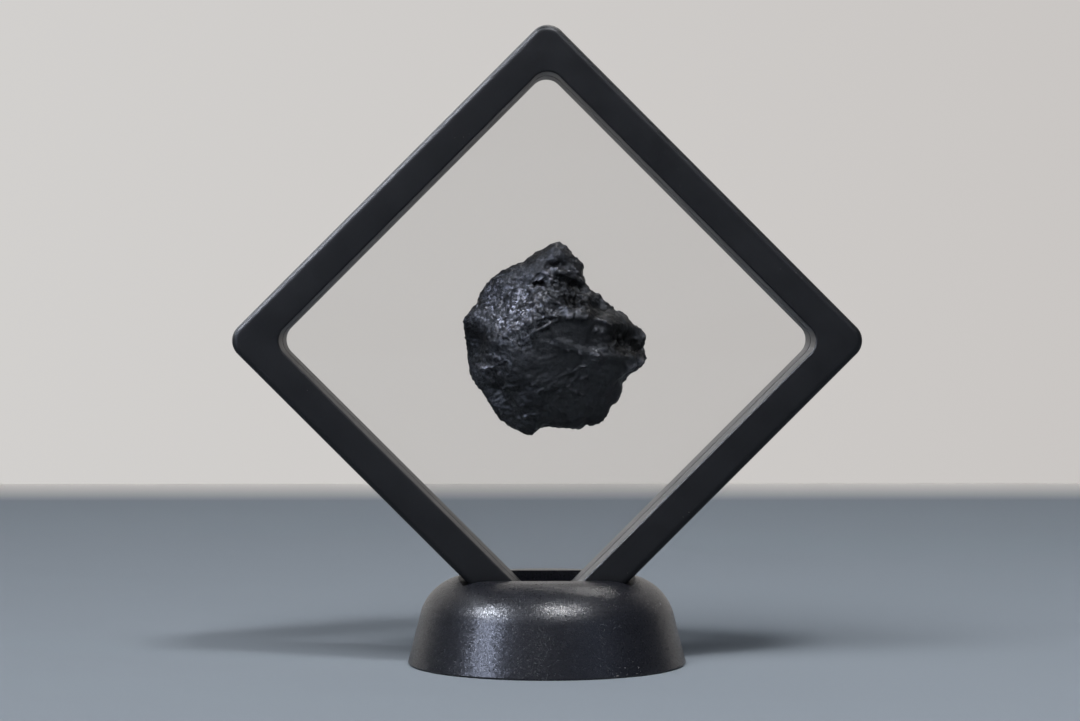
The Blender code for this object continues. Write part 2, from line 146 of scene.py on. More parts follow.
# Regions of the surface, from the stone's middle in millimetres: x, z, radius, grainy, craggy,
# streaky and the way the streaks run, in degrees up from level.
FRONT_REGIONS = {
    "shoulder": (-9.5, 6.0, 5.0, 1.0, 0.3, 0.0, 20.0),
    "shoulder_right": (-5.0, 5.0, 3.5, 1.0, 0.5, 0.0, 20.0),
    "upper_left": (-8.0, 12.5, 4.0, 0.2, 0.05, 0.1, 30.0),
    "top": (-0.5, 17.0, 2.5, 0.3, 0.3, 0.1, 30.0),
    "brow": (-3.0, 2.0, 2.6, 0.1, 0.2, 0.8, 29.0),
    "nose": (4.0, 0.8, 3.4, 0.0, 0.05, 0.1, 10.0),
    "lower_right": (8.0, -12.0, 6.0, 0.0, 0.1, 0.1, 25.0),
    "lower_middle": (0.5, -8.0, 4.5, 0.1, 0.3, 1.0, 27.0),
    "lower_left": (-7.5, -11.5, 4.5, 0.2, 0.5, 0.7, 24.0),
    "layers": (1.5, 11.0, 3.2, 0.0, 0.1, 1.1, -20.0),
    "right_shoulder": (3.5, 6.5, 3.2, 0.1, 0.5, 0.5, 20.0),
    "cross_ridge": (8.0, -2.6, 2.6, 0.3, 0.6, 0.7, -8.0),
    "wing": (13.0, 1.5, 3.8, 0.0, 0.3, 0.4, -35.0),
    "left_side": (-13.5, 0.0, 3.5, 0.0, 0.2, 0.5, -22.0),
    "lit_lump": (-14.5, -5.5, 2.5, 0.7, 0.3, 0.9, -8.0),
}
BACK_REGIONS = {
    "back_crown": (-5.5, 6.0, 5.0, 0.7, 0.6, 0.2, 30.0),
    "back_hollow": (6.0, 3.5, 4.0, 0.1, 0.3, 0.4, -20.0),
    "back_low": (2.0, -12.0, 5.0, 0.3, 0.8, 0.9, 15.0),
    "back_left": (-12.0, -3.0, 4.5, 0.2, 0.4, 0.8, -40.0),
}
# Painted shade laid on patches of the front: x, z, radius in millimetres, and how dark.
PAINTED_SHADE_PATCHES = {
    "wing": (13.5, 1.5, 4.2, 0.65),
    "right_edge": (8.5, 6.0, 2.6, 0.5),
    "layered_hollow": (3.0, 9.5, 3.2, 0.55),
    "left_side": (-14.0, 1.5, 2.6, 0.45),
    "nose": (4.0, 0.5, 3.5, 0.3),
}
# Broad corrections of the solid's front: from x, z to x, z, half width and rise in millimetres.
BROAD_FORMS = {
    "groove_fill": ((-13.4, 1.6), (-6.0, -1.2), 0.95, 0.50),
    "ray_trim": ((-14.6, -2.6), (-8.8, -4.4), 0.80, -0.30),
    "bay": ((0.8, 11.0), (4.2, 9.2), 2.0, -0.60),
    "brow_trim": ((-6.4, 0.3), (0.2, 4.7), 0.95, -0.62),
    "brow_fill": ((-5.4, 2.6), (-1.2, 5.8), 1.10, 0.30),
    "knob_face": ((-0.3, 18.3), (0.7, 17.4), 0.9, 0.25),
}
# Small forms on the front, given in the same way. Their crests are rubbed, and their hollows get painted
# shade.
FINE_FORMS = {
    "knob_crease": ((-0.9, 14.8), (0.6, 15.1), 0.34, -0.40),
    "crease_lip_left": ((-1.1, 13.9), (-0.6, 14.1), 0.45, 0.32),
    "crease_lip_right": ((0.1, 14.2), (0.6, 14.3), 0.40, 0.32),
    "bright_corner": ((-1.6, 12.9), (-1.0, 12.4), 0.50, 0.55),
    "upper_ledge": ((0.9, 13.5), (2.9, 13.3), 0.34, 0.28),
    "upper_ledge_fall": ((2.9, 13.3), (4.9, 12.0), 0.42, 0.30),
    "notch_block": ((3.5, 14.5), (4.1, 13.5), 0.50, 0.30),
    "glint_left": ((-3.9, 11.7), (-3.2, 11.7), 0.30, 0.70),
    "glint_right": ((-1.3, 12.7), (-1.0, 12.5), 0.24, 0.45),
    "pit_floor": ((-3.9, 11.0), (-2.9, 11.1), 0.46, -0.75),
    "pit_lip": ((-5.0, 10.2), (-2.4, 10.4), 0.35, 0.45),
    "pit_brow": ((-4.8, 12.3), (-2.8, 12.0), 0.35, 0.35),
    "layer_one": ((-1.0, 12.0), (1.6, 11.3), 0.26, 0.25),
    "layer_two": ((0.2, 11.0), (3.2, 10.0), 0.26, 0.28),
    "layer_three": ((-0.8, 10.0), (1.9, 9.2), 0.26, 0.25),
    "side_hollow_high": ((3.8, 11.6), (4.9, 10.2), 0.80, -0.35),
    "dash_left": ((3.0, 8.7), (4.1, 8.4), 0.32, 0.32),
    "dash_right": ((4.6, 9.3), (5.3, 8.8), 0.38, 0.32),
    "dark_hollow": ((2.6, 7.7), (5.7, 7.3), 0.75, -0.45),
    "lump_one": ((0.0, 7.4), (1.0, 6.3), 0.42, 0.45),
    "lump_two": ((1.9, 6.2), (2.2, 6.0), 0.42, 0.50),
    "lump_three": ((2.4, 4.8), (3.4, 4.5), 0.45, 0.50),
    "lump_four": ((4.3, 5.5), (5.8, 6.7), 0.45, 0.36),
    "lump_five": ((4.8, 4.7), (5.9, 4.6), 0.50, 0.34),
    "shoulder_edge_blob": ((-4.6, 7.3), (-3.3, 8.5), 0.48, 0.60),
    "shoulder_edge_low": ((-4.6, 4.9), (-3.8, 6.6), 0.45, 0.45),
    "shoulder_lip_right": ((-7.6, 2.3), (-5.0, 3.7), 0.40, 0.50),
    "shoulder_lip_left": ((-9.6, 1.8), (-8.3, 2.2), 0.45, 0.50),
    "long_line": ((-6.4, 0.2), (-0.1, 3.8), 0.34, 0.27),
    "second_line": ((-4.4, 4.3), (1.4, 5.4), 0.33, 0.24),
    "knob_right_face": ((8.6, 8.3), (9.6, 7.3), 0.60, 0.32),
    "knob_right_streak": ((7.8, 7.7), (8.7, 7.0), 0.32, 0.35),
    "knuckle_high": ((8.2, 3.9), (11.0, 3.0), 0.36, 0.36),
    "knuckle_low": ((8.0, 2.1), (9.9, 1.6), 0.42, 0.36),
    "wing_shelf": ((13.4, 3.0), (16.3, 1.8), 0.70, 0.32),
    "wing_tip": ((17.1, 1.5), (17.6, 0.9), 0.50, 0.35),
    "wing_black": ((12.6, 0.2), (17.0, -1.6), 1.20, -1.00),
    "left_line_high": ((-14.4, -3.1), (-9.0, -4.4), 0.40, 0.18),
    "left_line_main": ((-17.0, -6.0), (-12.3, -5.2), 0.55, 0.42),
    "left_groove": ((-15.6, -4.6), (-10.0, -5.0), 0.35, -0.35),
    "left_bead": ((-14.5, -5.6), (-14.0, -5.4), 0.60, 0.16),
    "left_low_streak": ((-13.6, -7.5), (-12.1, -8.4), 0.36, 0.30),
    "lone_bead": ((-11.1, -6.7), (-10.8, -6.5), 0.42, 0.50),
    "stroke_one": ((-9.6, -6.9), (-8.3, -6.1), 0.26, 0.23),
    "stroke_two": ((-10.1, -9.3), (-7.8, -8.9), 0.26, 0.26),
    "stroke_three": ((-5.0, -9.5), (-3.6, -8.3), 0.26, 0.26),
    "stroke_four": ((-3.7, -10.7), (-2.8, -9.8), 0.26, 0.23),
    "stroke_five": ((3.1, -6.4), (6.0, -5.2), 0.26, 0.20),
    "stroke_six": ((4.2, -8.2), (6.1, -7.2), 0.26, 0.20),
    "stroke_seven": ((2.3, -9.1), (3.5, -8.2), 0.26, 0.20),
    "stroke_eight": ((-1.9, -9.1), (0.3, -8.4), 0.26, 0.20),
    "low_arc": ((2.7, -9.8), (5.5, -10.5), 0.28, 0.22),
    "low_swirl": ((-7.3, -15.7), (-3.3, -14.5), 0.40, 0.24),
    "edge_bead_high": ((-13.5, -11.6), (-13.1, -12.2), 0.42, 0.40),
    "edge_bead_low": ((-11.6, -14.1), (-11.2, -14.7), 0.42, 0.35),
    "nose_patch": ((-2.7, -0.1), (-0.8, -0.5), 0.45, 0.18),
    "nose_line": ((-1.4, -0.5), (2.5, -1.9), 0.38, 0.14),
    "cross_bead_one": ((2.1, -1.7), (2.5, -1.9), 0.38, 0.30),
    "cross_bead_two": ((4.9, -2.5), (5.3, -2.7), 0.38, 0.30),
    "cross_bead_three": ((6.7, -2.2), (7.1, -2.2), 0.38, 0.32),
    "cross_bead_four": ((8.4, -3.0), (8.7, -3.2), 0.38, 0.40),
    "cross_bead_five": ((9.4, -2.3), (9.7, -2.4), 0.38, 0.36),
    "cross_bead_six": ((7.3, -4.1), (7.9, -4.2), 0.36, 0.28),
    "end_facet": ((14.7, -5.6), (17.2, -4.2), 0.60, 0.45),
}

# Materials: the sizes of their textures, the depths of their bumps and how steeply grains tilt.
FRAME_MOTTLE_SIZE = 6.0 * MM
FRAME_GRAIN_SIZE = 0.22 * MM
FRAME_GRAIN_DEPTH = 0.01 * MM
SPECK_SPACING = 1.3 * MM
DUSTY_PATCH_SIZE = 9.0 * MM
STAND_MOTTLE_SIZE = 5.0 * MM
STAND_GRAIN_SIZE = 0.35 * MM
STAND_GRAIN_DEPTH = 0.012 * MM
STAND_CELL_SIZE = 0.20 * MM
STAND_CELL_TILT = 0.18
IRON_MOTTLE_SIZE = 4.0 * MM
IRON_GRAIN_SIZE = 0.45 * MM
IRON_GRAIN_DEPTH = 0.08 * MM
IRON_DRY_SIZE = 0.22 * MM
IRON_DRY_DEPTH = 0.04 * MM
IRON_WARP_SIZE = 0.8 * MM
IRON_WARP = 0.2 * MM
IRON_LARGE_CELL_SIZE = 0.85 * MM
IRON_LARGE_CELL_TILT = 0.75
IRON_SMALL_CELL_SIZE = 0.50 * MM
IRON_SMALL_CELL_TILT = 0.55
FILM_WAVE_SIZE = 7.0 * MM
FILM_WAVE_DEPTH = 0.05 * MM
FILM_GLOSS_ROUGHNESS = 0.04
FILM_CLEAR_COLOUR = (0.966, 0.966, 0.966, 1.0)
FILM_LEAST_GLOSS = 0.008


def linked(name, mesh):
    obj = bpy.data.objects.new(name, mesh)
    bpy.context.scene.collection.objects.link(obj)
    return obj


def object_from(builder, name):
    mesh = bpy.data.meshes.new(name)
    bmesh.ops.recalc_face_normals(builder, faces=builder.faces)
    builder.to_mesh(mesh)
    builder.free()
    return linked(name, mesh)


def shade_round(obj, angle=SHARP_ANGLE):
    obj.data.shade_smooth()
    obj.data.set_sharp_from_angle(angle=angle)


def add_node(tree, kind, inputs=None, **settings):
    """A shader node whose inputs are set to values or joined to other nodes' sockets."""
    node = tree.nodes.new(kind)
    for name, value in settings.items():
        setattr(node, name, value)
    for name, value in (inputs or {}).items():
        if isinstance(value, bpy.types.NodeSocket):
            tree.links.new(value, node.inputs[name])
        else:
            node.inputs[name].default_value = value
    return node


def math_node(tree, operation, first, second=0.0, clamp=False):
    node = add_node(tree, "ShaderNodeMath", {0: first, 1: second}, operation=operation)
    node.use_clamp = clamp
    return node.outputs[0]


def noise_node(tree, place, size, detail=3.0, roughness=0.5):
    inputs = {"Vector": place, "Scale": 1.0 / size, "Detail": detail, "Roughness": roughness}
    return add_node(tree, "ShaderNodeTexNoise", inputs).outputs["Fac"]


def ramp(tree, value, low, high, out_low=0.0, out_high=1.0):
    inputs = {0: value, 1: low, 2: high, 3: out_low, 4: out_high}
    return add_node(tree, "ShaderNodeMapRange", inputs, clamp=True).outputs[0]


def colour_mix(tree, share, first, second):
    node = add_node(tree, "ShaderNodeMix", {0: share}, data_type="RGBA")
    for index, value in ((6, first), (7, second)):
        if isinstance(value, bpy.types.NodeSocket):
            tree.links.new(value, node.inputs[index])
        else:
            node.inputs[index].default_value = (*value, 1.0)
    return node.outputs[2]


def bump(tree, height, depth, below=None):
    inputs = {"Height": height, "Distance": depth, "Strength": 1.0}
    if below is not None:
        inputs["Normal"] = below
    return add_node(tree, "ShaderNodeBump", inputs).outputs["Normal"]


def new_material(name):
    """A new material, its node tree, its Principled shader and the object's own coordinates."""
    material = bpy.data.materials.new(name)
    material.use_nodes = True
    tree = material.node_tree
    shader = tree.nodes["Principled BSDF"]
    place = add_node(tree, "ShaderNodeTexCoord").outputs["Object"]
    return material, tree, shader, place


def grain_cells(tree, place, size):
    return add_node(tree, "ShaderNodeTexVoronoi", {"Vector": place, "Scale": 1.0 / size})


def tilted_grains(tree, place, cells, steepness):
    """Bump height of small flat grains that each face their own way."""
    away = add_node(
        tree,
        "ShaderNodeVectorMath",
        {0: place, 1: cells.outputs["Position"]},
        operation="SUBTRACT",
    )
    lean = add_node(
        tree,
        "ShaderNodeVectorMath",
        {0: cells.outputs["Color"], 1: (0.5, 0.5, 0.5)},
        operation="SUBTRACT",
    )
    height = add_node(
        tree,
        "ShaderNodeVectorMath",
        {0: away.outputs[0], 1: lean.outputs[0]},
        operation="DOT_PRODUCT",
    )
    return math_node(tree, "MULTIPLY", height.outputs["Value"], steepness)


def frame_plastic():
    """Black plastic, faintly mottled, with a fine grain and a few pale specks of dust."""
    material, tree, shader, place = new_material("frame_plastic")
    dark, light, dust_colour = (0.0035, 0.0038, 0.0050), (0.0060, 0.0066, 0.0084), (0.16, 0.15, 0.14)
    mottle = noise_node(tree, place, FRAME_MOTTLE_SIZE, 4.0)
    grain = noise_node(tree, place, FRAME_GRAIN_SIZE, 2.0)
    specks = grain_cells(tree, place, SPECK_SPACING)
    speck_share = ramp(tree, specks.outputs["Distance"], 0.10, 0.05)
    dusty = ramp(tree, noise_node(tree, place, DUSTY_PATCH_SIZE, 3.0), 0.52, 0.66)
    dust = math_node(tree, "MULTIPLY", speck_share, dusty)
    plain = colour_mix(tree, mottle, dark, light)
    colour = colour_mix(tree, math_node(tree, "MULTIPLY", dust, 0.5), plain, dust_colour)
    tree.links.new(colour, shader.inputs["Base Color"])
    roughness = ramp(tree, mottle, 0.3, 0.7, 0.42, 0.49)
    tree.links.new(roughness, shader.inputs["Roughness"])
    shader.inputs["Specular IOR Level"].default_value = 0.25
    tree.links.new(bump(tree, grain, FRAME_GRAIN_DEPTH), shader.inputs["Normal"])
    return material


def stand_plastic():
    """Black plastic, glossier than the frame's, whose fine texture sparkles."""
    material, tree, shader, place = new_material("stand_plastic")
    dark, light = (0.0028, 0.0032, 0.0060), (0.0050, 0.0055, 0.0095)
    grain = noise_node(tree, place, STAND_GRAIN_SIZE, 2.5, 0.6)
    cells = grain_cells(tree, place, STAND_CELL_SIZE)
    mottle = noise_node(tree, place, STAND_MOTTLE_SIZE, 3.0)
    colour = colour_mix(tree, mottle, dark, light)
    tree.links.new(colour, shader.inputs["Base Color"])
    roughness = ramp(tree, grain, 0.3, 0.7, 0.26, 0.32)
    tree.links.new(roughness, shader.inputs["Roughness"])
    normal = bump(tree, tilted_grains(tree, place, cells, STAND_CELL_TILT), 1.0)
    normal = bump(tree, grain, STAND_GRAIN_DEPTH, normal)
    tree.links.new(normal, shader.inputs["Normal"])
    return material


def warped(tree, place):
    """The object's own coordinates, bent a little so that cells get uneven outlines."""
    inputs = {"Vector": place, "Scale": 1.0 / IRON_WARP_SIZE, "Detail": 2.0}
    warp = add_node(tree, "ShaderNodeTexNoise", inputs)
    return add_node(
        tree,
        "ShaderNodeVectorMath",
        {0: warp.outputs["Color"], 1: (IRON_WARP,) * 3, 2: place},
        operation="MULTIPLY_ADD",
    ).outputs[0]


def iron_colour(tree, place, wear_and_painted_shade, bright):
    """Worn dark crust, with painted shade in its hollows and shade patches, and bare metal where it is
    bright.
    """
    crust, worn_crust = (0.010, 0.011, 0.012), (0.034, 0.036, 0.041)
    painted_shade_colour, rubbed_metal = (0.004, 0.004, 0.004), (0.190, 0.192, 0.215)
    mottle = noise_node(tree, place, IRON_MOTTLE_SIZE, 5.0, 0.6)
    worn_colour = colour_mix(tree, mottle, crust, worn_crust)
    # Below 0 the attribute is painted shade: the hollows and the shade patches go darker.
    shaded = ramp(tree, wear_and_painted_shade, 0.0, -1.0)
    dull_colour = colour_mix(tree, shaded, worn_colour, painted_shade_colour)
    return colour_mix(tree, bright, dull_colour, rubbed_metal)


def meteorite_iron():
    """Dull dark iron, with brighter metal on its grains and on the crests that are rubbed, and painted
    shade in its hollows.
    """
    material, tree, shader, place = new_material("meteorite_iron")
    shift = warped(tree, place)
    grainy = add_node(tree, "ShaderNodeAttribute", attribute_name="grainy").outputs["Fac"]
    wear_and_painted_shade = add_node(tree, "ShaderNodeAttribute", attribute_name="wear_and_painted_shade").outputs["Fac"]
    large_cells = grain_cells(tree, shift, IRON_LARGE_CELL_SIZE)
    small_cells = grain_cells(tree, shift, IRON_SMALL_CELL_SIZE)
    chance = add_node(tree, "ShaderNodeSeparateXYZ", {0: small_cells.outputs["Color"]}).outputs["Z"]
    polished = math_node(tree, "MULTIPLY", ramp(tree, chance, 0.50, 0.85), ramp(tree, grainy, 0.2, 0.9))
    bright = math_node(tree, "MAXIMUM", polished, math_node(tree, "MULTIPLY", wear_and_painted_shade, 0.8, clamp=True))
    tree.links.new(iron_colour(tree, place, wear_and_painted_shade, bright), shader.inputs["Base Color"])
    shader.inputs["Metallic"].default_value = 0.8
    grain = noise_node(tree, place, IRON_GRAIN_SIZE, 4.0, 0.6)
    dull_roughness = ramp(tree, grain, 0.3, 0.7, 0.38, 0.56)
    shine = math_node(tree, "MULTIPLY", bright, 0.20)
    roughness = math_node(tree, "SUBTRACT", dull_roughness, shine)
    tree.links.new(roughness, shader.inputs["Roughness"])
    coarse = tilted_grains(tree, shift, large_cells, IRON_LARGE_CELL_TILT)
    fine = tilted_grains(tree, shift, small_cells, IRON_SMALL_CELL_TILT)
    facets = math_node(tree, "ADD", coarse, fine)
    faceted = math_node(tree, "MULTIPLY", facets, ramp(tree, grainy, 0.1, 0.9, 0.18, 1.0))
    dry = noise_node(tree, place, IRON_DRY_SIZE, 2.0, 0.6)
    normal = bump(tree, faceted, 1.0)
    normal = bump(tree, grain, IRON_GRAIN_DEPTH, normal)
    normal = bump(tree, dry, IRON_DRY_DEPTH, normal)
    tree.links.new(normal, shader.inputs["Normal"])
    return material


def clear_film():
    """Clear film: light goes straight through, and a share of it glances off, more at a slant."""
    material, tree, shader, place = new_material("clear_film")
    tree.nodes.remove(shader)
    output = tree.nodes["Material Output"]
    slant = add_node(tree, "ShaderNodeLayerWeight", {"Blend": 0.5}).outputs["Facing"]
    steep = math_node(tree, "POWER", slant, 5.0)
    share = ramp(tree, steep, 0.0, 1.0, FILM_LEAST_GLOSS, 1.0)
    wave = noise_node(tree, place, FILM_WAVE_SIZE, 2.0)
    gloss = add_node(
        tree,
        "ShaderNodeBsdfGlossy",
        {
            "Color": (1.0, 1.0, 1.0, 1.0),
            "Roughness": FILM_GLOSS_ROUGHNESS,
            "Normal": bump(tree, wave, FILM_WAVE_DEPTH),
        },
    )
    clear = add_node(tree, "ShaderNodeBsdfTransparent", {"Color": FILM_CLEAR_COLOUR})
    mixed = add_node(
        tree,
        "ShaderNodeMixShader",
        {0: share, 1: clear.outputs[0], 2: gloss.outputs[0]},
    )
    tree.links.new(mixed.outputs[0], output.inputs["Surface"])
    return material


def in_frame(u, v):
    """World x and z of a point given along the frame's own two sides, from its middle."""
    return (u - v) * DIAGONAL, FRAME_CENTRE_Z + (u + v) * DIAGONAL


def rounded_square(half, radius, y):
    centre = half - radius
    ring = []
    for quarter in range(4):
        turn = quarter * math.pi / 2
        for step in range(CORNER_STEPS + 1):
            angle = turn + step / CORNER_STEPS * math.pi / 2
            corner_u = centre * (math.cos(turn) - math.sin(turn))
            corner_v = centre * (math.sin(turn) + math.cos(turn))
            x, z = in_frame(
                corner_u + radius * math.cos(angle), corner_v + radius * math.sin(angle)
            )
            ring.append((x, y, z))
    return ring


def quarter_round(start, end, bulge_first, steps=EDGE_STEPS):
    """Points of a rounded edge between two (half, depth) places of a section, ends included."""
    points = []
    for step in range(steps + 1):
        angle = step / steps * math.pi / 2
        along, across = math.sin(angle), 1 - math.cos(angle)
        if not bulge_first:
            along, across = across, along
        half = start[0] + (end[0] - start[0]) * across
        depth = start[1] + (end[1] - start[1]) * along
        points.append((half, depth))
    return points


def frame_section():
    """The half frame's section as (half side, depth from the middle plane, corner centre) places."""
    outer = FRAME_SIDE / 2
    window = WINDOW_SIDE / 2
    face = FRAME_DEPTH / 2
    seam = GAP / 2
    outer_centre = outer - OUTER_CORNER_RADIUS
    window_centre = window - WINDOW_CORNER_RADIUS
    seam_edge = quarter_round(
        (outer - SEAM_EDGE_RADIUS, seam), (outer, seam + SEAM_EDGE_RADIUS), False, SEAM_STEPS
    )
    outer_edge = quarter_round(
        (outer, face - OUTER_EDGE_RADIUS), (outer - OUTER_EDGE_RADIUS, face), True
    )
    window_edge = quarter_round(
        (window + WINDOW_EDGE_RADIUS, face), (window, face - WINDOW_EDGE_RADIUS), False
    )
    section = [(half, depth, outer_centre) for half, depth in seam_edge + outer_edge]
    section += [(half, depth, window_centre) for half, depth in window_edge]
    section += [
        (window, REBATE_DEPTH, window_centre),
        (window + REBATE_WIDTH, REBATE_DEPTH, window_centre),
        (window + REBATE_WIDTH, seam, window_centre),
    ]
    return section


def frame_half(name, side):
    builder = bmesh.new()
    rings = []
    for half, depth, centre in frame_section():
        points = rounded_square(half, half - centre, side * depth)
        rings.append([builder.verts.new(point) for point in points])
    for ring, following in zip(rings, rings[1:] + rings[:1]):
        for i in range(len(ring)):
            j = (i + 1) % len(ring)
            builder.faces.new((ring[i], ring[j], following[j], following[i]))
    half_frame = object_from(builder, name)
    shade_round(half_frame)
    return half_frame


def shoulder_profile():
    """The stand's outer profile from the foot up to the middle of its top, as (radius, height)."""
    top_centre_z = STAND_HEIGHT - SHOULDER_RADIUS
    wall_top_z = top_centre_z + SHOULDER_RADIUS * math.sin(STAND_WALL_LEAN)
    wall_top_r = STAND_RADIUS - wall_top_z * math.tan(STAND_WALL_LEAN)
    centre_r = wall_top_r - SHOULDER_RADIUS * math.cos(STAND_WALL_LEAN)
    profile = [
        (0.0, 0.0),
        (STAND_RADIUS - FOOT_CHAMFER, 0.0),
        (STAND_RADIUS - FOOT_CHAMFER * math.tan(STAND_WALL_LEAN), FOOT_CHAMFER),
    ]
    for step in range(SHOULDER_STEPS + 1):
        angle = STAND_WALL_LEAN + step / SHOULDER_STEPS * (math.pi / 2 - STAND_WALL_LEAN)
        radius = centre_r + SHOULDER_RADIUS * math.cos(angle)
        profile.append((radius, top_centre_z + SHOULDER_RADIUS * math.sin(angle)))
    profile.append((0.0, STAND_HEIGHT))
    return profile


def turned_body(profile):
    """A closed body turned about Z from a profile that starts and ends on the axis."""
    builder = bmesh.new()
    first = builder.verts.new((0.0, 0.0, profile[0][1]))
    last = builder.verts.new((0.0, 0.0, profile[-1][1]))
    rings = []
    for radius, height in profile[1:-1]:
        ring = []
        for i in range(STAND_SEGMENTS):
            angle = 2 * math.pi * i / STAND_SEGMENTS
            ring.append(
                builder.verts.new((radius * math.cos(angle), radius * math.sin(angle), height))
            )
        rings.append(ring)
    for i in range(STAND_SEGMENTS):
        j = (i + 1) % STAND_SEGMENTS
        builder.faces.new((first, rings[0][j], rings[0][i]))
        builder.faces.new((last, rings[-1][i], rings[-1][j]))
        for ring, following in zip(rings, rings[1:]):
            builder.faces.new((ring[i], ring[j], following[j], following[i]))
    return builder


def slot_outline():
    """The slot seen from the front: a V that clears the frame's lower corner, flared at its mouth."""
    half = FRAME_SIDE / 2 + GAP
    radius = OUTER_CORNER_RADIUS + GAP
    apex_z = FRAME_CENTRE_Z - 2 * half * DIAGONAL
    arc_centre_z = apex_z + 2 * radius * DIAGONAL
    arc_start = math.radians(-135.0)
    arc = []
    for step in range(CORNER_STEPS + 1):
        angle = arc_start + step / CORNER_STEPS * math.pi / 2
        arc.append((radius * math.cos(angle), arc_centre_z + radius * math.sin(angle)))
    mouth_z = STAND_HEIGHT - SLOT_MOUTH_DEPTH
    mouth_half = mouth_z - apex_z
    top_half = STAND_HEIGHT - apex_z + SLOT_MOUTH_FLARE
    slope = (top_half - mouth_half) / SLOT_MOUTH_DEPTH
    above = SLOT_MOUTH_DEPTH
    right = [(mouth_half, mouth_z), (top_half + slope * above, STAND_HEIGHT + above)]
    left = [(-x, z) for x, z in reversed(right)]
    return left + arc + right


def slot_cutter():
    builder = bmesh.new()
    faces = []
    for y in (-SLOT_WIDTH / 2, SLOT_WIDTH / 2):
        faces.append([builder.verts.new((x, y, z)) for x, z in slot_outline()])
    front, back = faces
    builder.faces.new(front)
    builder.faces.new(list(reversed(back)))
    for i in range(len(front)):
        j = (i + 1) % len(front)
        builder.faces.new((front[j], front[i], back[i], back[j]))
    return object_from(builder, "slot_cutter")


def settle(obj):
    """Replaces an object's mesh by what its modifiers make of it, and takes them off."""
    graph = bpy.context.evaluated_depsgraph_get()
    mesh = bpy.data.meshes.new_from_object(obj.evaluated_get(graph))
    obj.modifiers.clear()
    obj.data = mesh
    return obj


def stand():
    body = object_from(turned_body(shoulder_profile()), "stand_turned")
    cutter = slot_cutter()
    cut = body.modifiers.new("slot", "BOOLEAN")
    cut.operation = "DIFFERENCE"
    cut.object = cutter
    settle(body)
    bpy.data.objects.remove(cutter)
    shade_round(body)
    return body


def grain_height(point, size):
    """Relief of small tilted grains of about this size, some of it above 0 and some below."""
    middle = noise.voronoi(point / size)[1][0]
    tilt = noise.cell_vector(middle * GRAIN_SPREAD) - Vector((0.5, 0.5, 0.5))
    return (point / size - middle).dot(tilt)


def crag_height(point, size):
    """Sharp-crested relief: 1 on the crests and lower between them."""
    return 1.0 - 2.0 * abs(noise.noise(point / size, noise_basis="PERLIN_NEW"))


def streak_height(point, angle):
    """Relief of long thin crests that run across the front at an angle up from level."""
    turn = math.radians(angle)
    along = point.x * math.cos(turn) + point.z * math.sin(turn)
    across = point.z * math.cos(turn) - point.x * math.sin(turn)
    drawn_out = Vector((along / STREAK_STRETCH, point.y / STREAK_DEEPENING, across))
    return crag_height(drawn_out, STREAK_SIZE) - CREST_LEVEL


def surface_kind(point):
    """How grainy and craggy the stone is at a place, and its streaks' height, from its regions."""
    grainy, craggy, weight = BASE_KIND
    streaks = 0.0
    regions = FRONT_REGIONS if point.y < 0.0 else BACK_REGIONS
    for x, z, radius, grain, crag, streak, angle in regions.values():
        share = REGION_WEIGHT * math.exp(-((point.x - x) ** 2 + (point.z - z) ** 2) / radius**2)
        grainy += share * grain
        craggy += share * crag
        weight += share
        if share * streak > LEAST_STREAK:
            streaks += share * streak * streak_height(point, angle)
    return grainy / weight, craggy / weight, streaks / weight


def stone_relief(point):
    """Height of the fine relief at a place in millimetres from the stone's middle, and its grain."""
    grainy, craggy, streaks = surface_kind(point)
    crags = 0.0
    for size, rise, shift in CRAGS:
        crags += rise * (crag_height(point + Vector(shift), size) - CREST_LEVEL)
    grains = 0.0
    for size, rise, shift in GRAINS:
        grains += rise * grain_height(point + Vector(shift), size)
    height = craggy * crags + (LEAST_GRAIN + grainy) * grains + STREAK_RISE * streaks
    height += ROUGH_RISE * noise.noise(point / ROUGH_SIZE, noise_basis="PERLIN_NEW")
    return height, grainy


def form_heights(points, forms):
    """Height of the named forms at the front's places, in millimetres from the middle."""
    height = np.zeros(len(points))
    wander = np.array([noise.noise_vector(Vector(point) / FORM_WANDER_LENGTH) for point in points])
    vigour = np.array([noise.noise(Vector(point) / FORM_BREAK_LENGTH) for point in points])
    place = (points + FORM_WANDER * wander)[:, (0, 2)]
    for start, end, width, rise in forms.values():
        start, end = np.array(start), np.array(end)
        run = end - start
        along = np.clip((place - start) @ run / (run @ run), 0.0, 1.0)
        distance = np.linalg.norm(place - start - along[:, None] * run, axis=1)
        height += rise * np.exp(-((distance / width) ** FORM_ROUNDNESS))
    height *= 1.0 + FORM_BREAK * vigour
    return height * np.clip(-points[:, 1] / FORM_FADE, 0.0, 1.0)


def painted_shade_amount(points):
    """How much painted shade from the patches lies on the front's places."""
    share = np.zeros(len(points))
    # Each patch adds painted shade, strongest at its middle.
    for x, z, radius, depth in PAINTED_SHADE_PATCHES.values():
        away = (points[:, 0] - x) ** 2 + (points[:, 2] - z) ** 2
        share += depth * np.exp(-away / radius**2)
    return share * np.clip(-points[:, 1] / FORM_FADE, 0.0, 1.0)


def rim_jag(point, normal):
    """How far the stone's rim juts out or in, along its own surface direction."""
    edge_on = max(0.0, 1.0 - abs(normal.y) / RIM_FACING)
    teeth = crag_height(point, TOOTH_SIZE) - TOOTH_LEVEL + CHIP_SHARE * grain_height(point, CHIP_SIZE)
    return RIM_TEETH * edge_on * teeth


